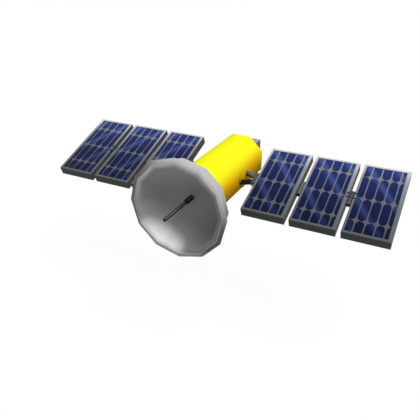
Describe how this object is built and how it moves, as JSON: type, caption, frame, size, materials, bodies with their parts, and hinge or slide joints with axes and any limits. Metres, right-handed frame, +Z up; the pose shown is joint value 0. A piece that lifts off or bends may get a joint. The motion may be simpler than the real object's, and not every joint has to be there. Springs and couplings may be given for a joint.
{
  "type": "communications satellite",
  "caption": "Communications satellite with an octagonal bus, a deep polygonal dish with a rod feed, and two folding solar wings on turning drives.",
  "frame": {"origin": "centre of the launch ring's separation face, on the bus axis at its rear end", "axes": "+X along the wing span to the north wing, +Y out of the rear end towards the launcher (the dish looks along -Y), +Z up"},
  "size_m": [10.016, 5.335, 2.7738],
  "materials": {
    "yellow_blanket": "smooth satin yellow outer panels",
    "box_grey": "satin grey",
    "bare_ring": "machined aluminium",
    "bell_metal": "dark heat-tinted alloy",
    "dish_grey": "smooth light grey paint",
    "black_composite": "dark carbon composite",
    "hinge_grey": "dark grey anodised metal",
    "panel_frame": "grey painted frame",
    "solar_cell": "glossy deep blue cells"
  },
  "bodies": {
    "bus": {"bus_core": "yellow_blanket", "bus_side_panels": "yellow_blanket", "bus_corner_panels": "yellow_blanket", "bus_top_bottom_panels": "yellow_blanket", "bus_decks": "yellow_blanket", "drive_bearings": "bare_ring", "propulsion_box": "box_grey", "launch_ring": "bare_ring", "engine_bell": "bell_metal", "dish_mast": "black_composite", "dish_reflector": "dish_grey", "feed_stub": "black_composite", "feed_rod": "black_composite"},
    "north_yoke": {"north_drive_hub": "yellow_blanket", "north_yoke_rods": "black_composite", "north_root_barrel": "hinge_grey"},
    "north_inner": {"north_root_pin": "bare_ring", "north_inner_panel": "panel_frame", "north_inner_cells": "solar_cell", "north_inner_lugs": "hinge_grey", "north_inner_drum": "hinge_grey"},
    "north_middle": {"north_middle_panel": "panel_frame", "north_middle_cells": "solar_cell", "north_middle_lugs": "hinge_grey", "north_middle_drum": "hinge_grey"},
    "north_outer": {"north_outer_panel": "panel_frame", "north_outer_cells": "solar_cell", "north_outer_lugs": "hinge_grey"},
    "south_yoke": {"south_drive_hub": "yellow_blanket", "south_yoke_rods": "black_composite", "south_root_barrel": "hinge_grey"},
    "south_inner": {"south_root_pin": "bare_ring", "south_inner_panel": "panel_frame", "south_inner_cells": "solar_cell", "south_inner_lugs": "hinge_grey", "south_inner_drum": "hinge_grey"},
    "south_middle": {"south_middle_panel": "panel_frame", "south_middle_cells": "solar_cell", "south_middle_lugs": "hinge_grey", "south_middle_drum": "hinge_grey"},
    "south_outer": {"south_outer_panel": "panel_frame", "south_outer_cells": "solar_cell", "south_outer_lugs": "hinge_grey"}
  },
  "joints": [
    {"name": "north_array_drive", "type": "hinge", "parent": "bus", "child": "north_yoke", "pos_m": [0.699, -1.935, 0], "axis": [1, 0, 0], "continuous": true},
    {"name": "north_root_hinge", "type": "hinge", "parent": "north_yoke", "child": "north_inner", "pos_m": [1.054, -1.935, 0], "axis": [0, -0.9336, -0.3584], "range_deg": [0, 90]},
    {"name": "north_inner_fold", "type": "hinge", "parent": "north_inner", "child": "north_middle", "pos_m": [2.41, -1.87909, -0.14564], "axis": [0, -0.9336, -0.3584], "range_deg": [-180, 0]},
    {"name": "north_outer_fold", "type": "hinge", "parent": "north_middle", "child": "north_outer", "pos_m": [3.742, -1.99091, 0.14564], "axis": [0, -0.9336, -0.3584], "range_deg": [0, 180]},
    {"name": "south_array_drive", "type": "hinge", "parent": "bus", "child": "south_yoke", "pos_m": [-0.699, -1.935, 0], "axis": [1, 0, 0], "continuous": true},
    {"name": "south_root_hinge", "type": "hinge", "parent": "south_yoke", "child": "south_inner", "pos_m": [-1.054, -1.935, 0], "axis": [0, 0.9336, 0.3584], "range_deg": [0, 90]},
    {"name": "south_inner_fold", "type": "hinge", "parent": "south_inner", "child": "south_middle", "pos_m": [-2.41, -1.87909, -0.14564], "axis": [0, 0.9336, 0.3584], "range_deg": [-180, 0]},
    {"name": "south_outer_fold", "type": "hinge", "parent": "south_middle", "child": "south_outer", "pos_m": [-3.742, -1.99091, 0.14564], "axis": [0, 0.9336, 0.3584], "range_deg": [0, 180]}
  ],
  "couplings": [
    {"joint": "north_inner_fold", "follows": "north_root_hinge", "ratio": -2},
    {"joint": "north_outer_fold", "follows": "north_root_hinge", "ratio": 2},
    {"joint": "south_inner_fold", "follows": "south_root_hinge", "ratio": -2},
    {"joint": "south_outer_fold", "follows": "south_root_hinge", "ratio": 2}
  ]
}
